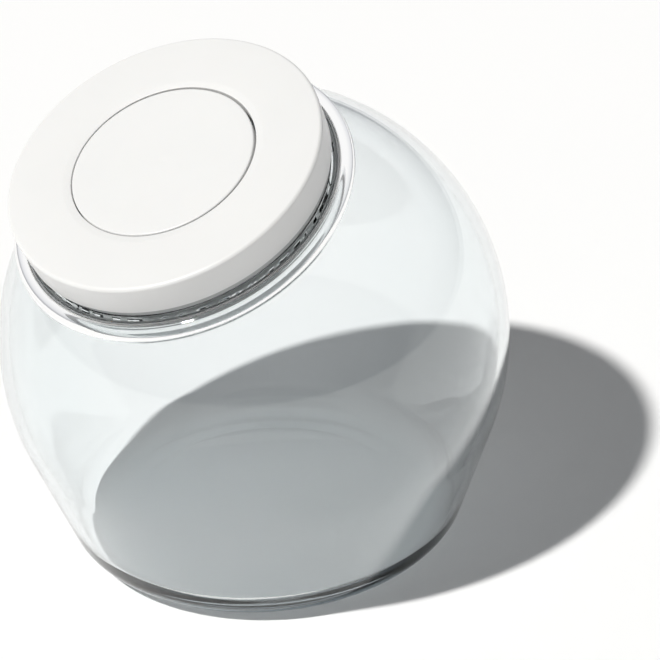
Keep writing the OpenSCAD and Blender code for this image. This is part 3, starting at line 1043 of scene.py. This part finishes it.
@dataclass
class ClearParts:
    """The clear carrier under the cover and the clamp plate below the ring seal."""

    mouth: Mouth
    lip_low: float = 0.3 * MM
    lip_high: float = 3.1 * MM
    floor_top: float = -0.4 * MM
    floor_under: float = -2.4 * MM
    plug: float = 57.3 * MM
    plug_wall: float = 2.3 * MM
    clamp_thick: float = 2.2 * MM
    post_hole: float = 2.55 * MM
    post_at: float = 45.42 * MM
    post: float = 2.2 * MM
    screw_hole: float = 1.5 * MM
    screw_at: float = 47 * MM
    small_hole: float = 0.9 * MM
    small_at: float = 15.6 * MM
    ear_at: float = 38.4 * MM
    ear_gap: float = 8.6 * MM
    ear_slip: float = 0.25 * MM
    ear_thick: float = 2 * MM
    ear_round: float = 2.5 * MM
    pin_height: float = 5.8 * MM
    spigot: float = 3.2 * MM
    spigot_height: float = 4 * MM
    sink: float = 0.5 * MM
    centring: float = 63.6 * MM
    centring_wall: float = 2 * MM
    centring_top: float = 7.5 * MM
    rim_at: float = 51.12 * MM
    rim_wall: float = 1.6 * MM
    rim_height: float = 1.8 * MM
    pilot: float = 1.1 * MM
    pilot_deep: float = 6 * MM
    first_post: float = 90.0
    first_screw: float = 30.0
    count: int = 3

    def tool(self, radius: float, low: float, high: float, place: Sequence[float],
             around: int) -> bpy.types.Mesh:
        """A plain cylinder in the mouth's frame, used to cut a hole.

        Args:
            radius: Its radius.
            low: Its lower end.
            high: Its upper end.
            place: Its distance from the axis and its angle in degrees.
            around: Number of sides.

        Returns:
            The mesh.
        """
        away, angle = place[0], math.radians(place[1])
        at = Matrix.Translation((away * math.cos(angle), away * math.sin(angle), 0))
        outline = [(0.0, low), (radius, low), (radius, high), (0.0, high)]
        return lathe("tool", outline, self.mouth.matrix @ at, closed=False, around=around)

    def cut(self, body: bpy.types.Mesh, tools: Sequence[bpy.types.Mesh]) -> bpy.types.Mesh:
        """Cuts tools from a body.

        Args:
            body: The mesh to work on.
            tools: Meshes that don't touch each other.

        Returns:
            The new mesh.
        """
        name = body.name
        target = new_object("target", body)
        other = new_object("tools", merged("tools", tools))
        work = target.modifiers.new("cut", "BOOLEAN")
        work.operation = "DIFFERENCE"
        work.object = other
        work.solver = "EXACT"
        result = evaluated(target, name, Matrix.Identity(4))
        bpy.data.objects.remove(other)
        for face in result.polygons:
            face.use_smooth = True
        result.set_sharp_from_angle(angle=math.radians(32))
        return result

    def spaced(self, away: float, first: float) -> list[tuple[float, float]]:
        """Places of one set of holes or posts."""
        return [(away, first + i * 360 / self.count) for i in range(self.count)]

    def carrier(self) -> bpy.types.Mesh:
        """The carrier: floor, wall, lip and the ring that centres the cover."""
        outer, _, _ = self.mouth.reach("gasket_carrier")
        wall = self.plug - self.plug_wall
        ring, ring_in = self.centring, self.centring - self.centring_wall
        outline = rounded([
            (0.0, self.floor_under, 0.0),
            (self.plug, self.floor_under, 0.4 * MM),
            (self.plug, self.lip_low, 0.5 * MM),
            (outer, self.lip_low, 0.7 * MM),
            (outer, self.lip_high, 0.7 * MM),
            (ring, self.lip_high, 0.3 * MM),
            (ring, self.centring_top, 0.4 * MM),
            (ring_in, self.centring_top, 0.4 * MM),
            (ring_in, self.lip_high, 0.5 * MM),
            (wall, self.lip_high, 0.4 * MM),
            (wall, self.floor_top, 0.6 * MM),
            (0.0, self.floor_top, 0.0),
        ], steps=6, closed=False)
        body = lathe("carrier", outline, self.mouth.matrix, closed=False, around=224)
        low, high = self.floor_under - 1 * MM, self.floor_top + 1 * MM
        holes = []
        for radius, away, first, around in (
                (self.post_hole, self.post_at, self.first_post, 40),
                (self.screw_hole, self.screw_at, self.first_screw, 40),
                (self.small_hole, self.small_at, self.first_screw, 24)):
            holes += [self.tool(radius, low, high, p, around) for p in self.spaced(away, first)]
        return self.cut(body, holes)

    def ear(self, side: int) -> bpy.types.Mesh:
        """One ear with softened edges, at the x axis.

        Args:
            side: Which side of its rocker, 1 or -1.

        Returns:
            The mesh, in the mouth's frame before it is placed.
        """
        root = self.floor_top - self.sink
        profile = [(self.ear_round, root)]
        profile += arc((0, self.pin_height), self.ear_round, 0, 180, 20)
        profile.append((-self.ear_round, root))
        middle = side * (self.ear_gap / 2 + self.ear_slip + self.ear_thick / 2)
        build = bmesh.new()
        faces = [[build.verts.new((self.ear_at + x, y, z)) for x, z in profile]
                 for y in (middle - self.ear_thick / 2, middle + self.ear_thick / 2)]
        build.faces.new(faces[0])
        build.faces.new(faces[1][::-1])
        for k in range(len(profile)):
            n = (k + 1) % len(profile)
            build.faces.new((faces[0][k], faces[0][n], faces[1][n], faces[1][k]))
        bmesh.ops.recalc_face_normals(build, faces=build.faces)
        bmesh.ops.bevel(build, geom=[e for e in build.edges if e.calc_face_angle(0) > 1],
                        offset=0.2 * MM, segments=2, affect="EDGES")
        mesh = bpy.data.meshes.new("ear")
        build.to_mesh(mesh)
        build.free()
        for face in mesh.polygons:
            face.use_smooth = True
        mesh.set_sharp_from_angle(angle=math.radians(40))
        return mesh

    def ears(self) -> bpy.types.Mesh:
        """The ears that hold the rockers' pins, and the spring's spigot."""
        root, tip = self.floor_top - self.sink, self.floor_top + self.spigot_height
        parts = [lathe("spigot", rounded([
            (0.0, root, 0), (self.spigot, root, 0), (self.spigot, tip, 0.5 * MM), (0.0, tip, 0),
        ], closed=False), self.mouth.matrix, closed=False, around=48)]
        for _, angle in self.spaced(self.ear_at, self.first_post):
            turn = Matrix.Rotation(math.radians(angle), 4, "Z")
            for side in (-1, 1):
                mesh = self.ear(side)
                mesh.transform(self.mouth.matrix @ turn)
                parts.append(mesh)
        return merged("ears", parts)

    def clamp(self) -> bpy.types.Mesh:
        """The clamp plate with its locating rim and three posts."""
        outer, low, high = self.mouth.reach("clamp_plate")
        top = low + self.clamp_thick
        rim, rim_out, rim_top = self.rim_at, self.rim_at + self.rim_wall, top + self.rim_height
        root, bottom = top - 0.4 * MM, high - self.pilot_deep
        outline = rounded([
            (0.0, low, 0.0),
            (outer, low, 1.05 * MM),
            (outer, top, 1.05 * MM),
            (rim_out, top, 0.3 * MM),
            (rim_out, rim_top, 0.4 * MM),
            (rim, rim_top, 0.4 * MM),
            (rim, top, 0.4 * MM),
            (0.0, top, 0.0),
        ], steps=6, closed=False)
        parts = [lathe("clamp", outline, self.mouth.matrix, closed=False, around=224)]
        for away, angle in self.spaced(self.post_at, self.first_post):
            at = Matrix.Rotation(math.radians(angle), 4, "Z") @ Matrix.Translation((away, 0, 0))
            post = rounded([(0.0, root, 0), (self.post, root, 0), (self.post, high, 0.25 * MM),
                            (self.pilot, high, 0.15 * MM), (self.pilot, bottom, 0.2 * MM),
                            (0.0, bottom, 0)], steps=4, closed=False)
            parts.append(lathe("post", post, self.mouth.matrix @ at, closed=False, around=40))
        return merged("clamp", parts)

    def build(self) -> None:
        """Makes the two clear pieces."""
        whole = merged("clear_carrier", [self.carrier(), self.ears()])
        finished("clear_carrier", whole, Finish.CLEAR, "lid", "clear_plastic", "gasket_carrier")
        finished("clear_clamp", self.clamp(), Finish.CLEAR, "clamp", "clear_plastic", "clamp_plate")


@dataclass
class RingSeal:
    """The silicone ring, in one fixed shape."""

    mouth: Mouth
    wide: float = 6.4 * MM
    groove: float = 0.35 * MM
    grip: float = 0.2 * MM
    longest: float = 0.8 * MM

    def build(self) -> None:
        """Makes the ring."""
        outer, low, high = self.mouth.reach("gasket")
        inner = outer - self.wide
        half = (high - low) / 2
        middle = (low + high) / 2
        nose = arc((outer - half, middle), half, -90, 90, 28)
        deep = inner + self.groove
        back = [(inner, high), (inner, middle + 2 * self.groove), (deep, middle + self.groove),
                (deep, middle - self.groove), (inner, middle - 2 * self.groove), (inner, low)]
        outline = nose + rounded([(r, z, 0.0 if abs(z - middle) < half * 0.9 else 0.3 * MM)
                                  for r, z in back], closed=False)
        dense = []
        for a, b in zip(outline, outline[1:] + outline[:1]):
            dense.append(a)
            if math.dist(a, b) > self.longest:
                dense.append(((a[0] + b[0]) / 2, (a[1] + b[1]) / 2))
        mesh = lathe("ring_seal", dense, self.mouth.matrix, around=224)
        seal = dress(new_object("ring_seal", mesh), Finish.SILICONE)
        self.mouth.on_axis(high - self.grip)
        self.mouth.on_axis(low + self.grip)
        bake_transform(seal)
        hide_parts("gasket")
        LOG.info("ring_seal: %d faces between lid and clamp", len(mesh.polygons))


@dataclass
class ReturnSpring:
    """The coil that lifts the button, drawn along a spiral curve by Geometry Nodes."""

    mouth: Mouth
    coil: float = 4.6 * MM
    wire: float = 0.45 * MM
    turns: float = 7.5
    wire_points: int = 12
    points_per_turn: int = 36
    end_share: float = 0.1
    end_height: float = 0.06

    def tree(self) -> tuple[bpy.types.NodeTree, dict[str, str]]:
        """Builds the spring's tree.

        Returns:
            The tree, and its inputs' identifiers by name.
        """
        tree = bpy.data.node_groups.new("coil_spring", "GeometryNodeTree")
        face = tree.interface
        face.new_socket("Geometry", in_out="INPUT", socket_type="NodeSocketGeometry")
        ids = {}
        for label, kind in (("Coil radius", "NodeSocketFloat"), ("Wire radius", "NodeSocketFloat"),
                            ("Height", "NodeSocketFloat"), ("Turns", "NodeSocketFloat"),
                            ("Points", "NodeSocketInt"), ("Finish", "NodeSocketMaterial")):
            ids[label] = face.new_socket(label, in_out="INPUT", socket_type=kind).identifier
        face.new_socket("Geometry", in_out="OUTPUT", socket_type="NodeSocketGeometry")
        add, link = tree.nodes.new, tree.links.new
        given, result = add("NodeGroupInput"), add("NodeGroupOutput")
        spiral = add("GeometryNodeCurveSpiral")
        link(given.outputs["Points"], spiral.inputs["Resolution"])
        link(given.outputs["Turns"], spiral.inputs["Rotations"])
        link(given.outputs["Coil radius"], spiral.inputs["Start Radius"])
        link(given.outputs["Coil radius"], spiral.inputs["End Radius"])
        link(given.outputs["Height"], spiral.inputs["Height"])
        wire = add("GeometryNodeCurvePrimitiveCircle")
        wire.inputs["Resolution"].default_value = self.wire_points
        link(given.outputs["Wire radius"], wire.inputs["Radius"])
        tube = add("GeometryNodeCurveToMesh")
        tube.inputs["Fill Caps"].default_value = True
        link(spiral.outputs[0], tube.inputs["Curve"])
        link(wire.outputs[0], tube.inputs["Profile Curve"])
        real, paint = add("GeometryNodeRealizeInstances"), add("GeometryNodeSetMaterial")
        link(tube.outputs[0], real.inputs[0])
        link(real.outputs[0], paint.inputs["Geometry"])
        link(given.outputs["Finish"], paint.inputs["Material"])
        link(paint.outputs[0], result.inputs[0])
        return tree, ids

    def build(self) -> None:
        """Makes the spring to the length that the frame gives it."""
        _, low, high = self.mouth.reach("return_spring")
        height = high - low - 2 * self.wire
        tree, ids = self.tree()
        source = new_object("spring_source", bpy.data.meshes.new("spring_source"))
        work = source.modifiers.new("coil", "NODES")
        work.node_group = tree
        values = {"Coil radius": self.coil, "Wire radius": self.wire, "Height": height,
                  "Turns": self.turns, "Points": self.points_per_turn,
                  "Finish": Finish.WIRE.material}
        for label, value in values.items():
            work[ids[label]] = value
        mesh = evaluated(source, "coil_spring", Matrix.Identity(4))
        for vertex in mesh.vertices:
            vertex.co.z = low + self.wire + self.closed_ends(vertex.co.z / height) * height
        for polygon in mesh.polygons:
            polygon.use_smooth = len(polygon.vertices) == 4
        mesh.transform(self.mouth.matrix)
        spring = dress(new_object("coil_spring", mesh), Finish.WIRE)
        self.mouth.on_axis(low)
        self.mouth.on_axis(high)
        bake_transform(spring)
        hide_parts("return_spring")
        LOG.info("coil_spring: %d faces between lid and button", len(mesh.polygons))

    def closed_ends(self, share: float) -> float:
        """Lays the coil's first and last turn nearly flat.

        Args:
            share: Height along an even coil, from 0 to 1.

        Returns:
            Height along the closed coil, from 0 to 1.
        """
        end, flat = self.end_share, self.end_height
        if share < end:
            return share * flat / end
        if share > 1 - end:
            return 1 - (1 - share) * flat / end
        return flat + (share - end) / (1 - 2 * end) * (1 - 2 * flat)


@dataclass(frozen=True)
class ScrewSet:
    """One set of equal screws and where it goes."""

    name: str
    node: str
    body: str
    away: float
    first: float
    shank: float
    head: float
    tall: float
    flip: bool


@dataclass
class Fasteners:
    """The lid's screws, repeated round the axis."""

    SETS = (
        ScrewSet("cover_screw_set", "cover_screws", "lid", 47.0 * MM, 30.0,
                 1.25 * MM, 2.6 * MM, 1.8 * MM, False),
        ScrewSet("barrel_screw_set", "barrel_screws", "lid", 15.6 * MM, 30.0,
                 0.9 * MM, 1.8 * MM, 1.2 * MM, True),
        ScrewSet("post_screw_set", "post_screws", "clamp", 45.42 * MM, 90.0,
                 1.1 * MM, 2.6 * MM, 1.8 * MM, True),
    )

    mouth: Mouth
    repeat: Repeater
    count: int = 3
    pitch: float = 0.7 * MM
    lead: float = 0.6 * MM
    root: float = 0.8

    def screw(self, kind: ScrewSet, length: float) -> bpy.types.Mesh:
        """A pan-head screw with a round socket and grooves for its thread.

        Args:
            kind: The set it belongs to.
            length: Length of the shank.

        Returns:
            The mesh, its seat at z = 0.
        """
        shank, tall = kind.shank, kind.tall
        core, socket, deep = shank * self.root, shank * 0.8, tall * 0.5
        outline: list[Point2] = [(0.0, -tall + deep), (socket, -tall + deep), (socket, -tall)]
        outline += rounded([(socket, -tall, 0), (kind.head, -tall, tall * 0.45),
                            (kind.head, 0.0, 0.1 * MM), (shank, 0.0, 0.0)], steps=6,
                           closed=False)[1:]
        z = self.lead
        while z + self.pitch < length - shank:
            outline += [(core, z), (shank, z + self.pitch * 0.5), (core, z + self.pitch)]
            z += self.pitch
        outline += [(core, z + 0.01 * MM), (0.25 * MM, length), (0.0, length)]
        place = Matrix.Rotation(math.pi, 4, "X") if kind.flip else Matrix.Identity(4)
        return lathe("screw", outline, place, closed=False, around=36, crease=40)

    def build(self) -> None:
        """Makes the three sets of screws."""
        for kind in self.SETS:
            _, low, high = self.mouth.reach(kind.node)
            part = self.screw(kind, high - low - kind.tall)
            seat = high - kind.tall if kind.flip else low + kind.tall
            part.transform(Matrix.Translation((0, 0, seat)))
            mesh = self.repeat.mesh(kind.name, part, self.count, kind.away, kind.first,
                                    Finish.TURNED)
            finished(kind.name, mesh, Finish.TURNED, kind.body, "steel", kind.node)


class Mechanism:
    """The inner pieces whose shape the frame already has; they get their finish here."""

    FINISHES = {
        "button_plunger": Finish.INNER_WHITE, "cam_barrel": Finish.INNER_WHITE,
        "cam_rotor": Finish.INNER_GREY, "rotor_clip": Finish.TURNED,
        "button_buffer": Finish.BUFFER, "spring_washer": Finish.TURNED,
        "post_washers": Finish.TURNED, "rocker_pins": Finish.WIRE,
        "rocker_1": Finish.LEVER, "rocker_2": Finish.LEVER, "rocker_3": Finish.LEVER,
    }

    def build(self) -> None:
        """Dresses each piece."""
        for name, finish in self.FINISHES.items():
            node = frame["nodes"][name]
            for slot in node.material_slots:
                slot.material = finish.material
            LOG.info("%s: finished in %s", name, finish.value.name)


# ------------------------------------------------------------------------ the studio


@dataclass(frozen=True)
class Studio:
    """A plain pale floor, one hard key light from the mouth's side and a pale surround."""

    floor_side: float = 12.0
    floor_drop: float = 0.3 * MM
    floor_tone: float = 0.955
    key_power: float = 3.25
    key_turn: float = math.radians(257.7)
    key_height: float = math.radians(53.6)
    key_angle: float = math.radians(3.0)
    fill: float = 0.19
    surround: float = 0.95
    key_colour: tuple[float, float, float] = (1.0, 0.99, 0.97)
    fill_colour: tuple[float, float, float] = (0.96, 0.98, 1.0)
    room: tuple = ((0.0, (0.42, 0.43, 0.45, 1)), (0.28, (0.80, 0.81, 0.83, 1)),
                   (0.75, (1, 1, 1, 1)))

    def floor(self) -> None:
        """Makes the floor."""
        half, low = self.floor_side / 2, -self.floor_drop
        mesh = bpy.data.meshes.new("studio_floor")
        mesh.from_pydata([(-half, -half, low), (half, -half, low), (half, half, low),
                          (-half, half, low)], [], [(0, 1, 2, 3)])
        nodes = Nodes("pale_floor")
        nodes.constants(Roughness=0.9, Specular_IOR_Level=0.1)
        tone = self.floor_tone
        paper = nodes.noise(3.0, 3.0)
        nodes.link(nodes.colours(paper, (tone,) * 3, (tone * 1.01,) * 3),
                   nodes.shader.inputs["Base Color"])
        floor = new_object("studio_floor", mesh)
        floor.data.materials.append(nodes.material)

    def key(self) -> None:
        """Makes the key light, a small lamp far away."""
        lamp = bpy.data.lights.new("key", "SUN")
        lamp.energy = self.key_power
        lamp.angle = self.key_angle
        lamp.color = self.key_colour
        light = bpy.data.objects.new("key", lamp)
        way = Vector((math.cos(self.key_turn) * math.cos(self.key_height),
                      math.sin(self.key_turn) * math.cos(self.key_height),
                      math.sin(self.key_height)))
        light.rotation_euler = way.to_track_quat("Z", "Y").to_euler()
        bpy.context.scene.collection.objects.link(light)

    def world(self) -> None:
        """Makes the surround: a low fill on matt surfaces, and a pale room in the glass."""
        world = bpy.data.worlds.new("pale_room")
        bpy.context.scene.world = world
        world.use_nodes = True
        tree = world.node_tree
        add, link = tree.nodes.new, tree.links.new
        tree.nodes.clear()
        path = add("ShaderNodeLightPath")
        coords = add("ShaderNodeTexCoord")
        split = add("ShaderNodeSeparateXYZ")
        link(coords.outputs["Generated"], split.inputs[0])
        ramp = add("ShaderNodeValToRGB")
        link(split.outputs["Z"], ramp.inputs["Fac"])
        stops = ramp.color_ramp.elements
        low, middle, high = self.room
        stops[0].position, stops[0].color = low
        stops[1].position, stops[1].color = high
        stops.new(middle[0]).color = middle[1]
        seen, fill = add("ShaderNodeBackground"), add("ShaderNodeBackground")
        link(ramp.outputs["Color"], seen.inputs["Color"])
        seen.inputs["Strength"].default_value = self.surround
        fill.inputs["Color"].default_value = (*self.fill_colour, 1)
        fill.inputs["Strength"].default_value = self.fill
        mix, out = add("ShaderNodeMixShader"), add("ShaderNodeOutputWorld")
        link(path.outputs["Is Diffuse Ray"], mix.inputs["Fac"])
        link(seen.outputs[0], mix.inputs[1])
        link(fill.outputs[0], mix.inputs[2])
        link(mix.outputs[0], out.inputs["Surface"])

    def build(self) -> None:
        """Makes the studio."""
        self.floor()
        self.key()
        self.world()
        bpy.context.scene.view_settings.view_transform = "Standard"


# ----------------------------------------------------------------------------- main


def main() -> None:
    """Builds the canister's pieces in order, from the jar up to the button."""
    logging.basicConfig(level=logging.INFO, format="%(name)s %(message)s")
    StudioCamera().build()
    mouth = Mouth()
    repeat = Repeater(mouth)
    GlassJar(mouth).build()
    LidCover(mouth, repeat).build()
    PushButton(mouth, repeat).build()
    ClearParts(mouth).build()
    RingSeal(mouth).build()
    ReturnSpring(mouth).build()
    Fasteners(mouth, repeat).build()
    Mechanism().build()
    Studio().build()


if __name__ == "__main__":
    main()
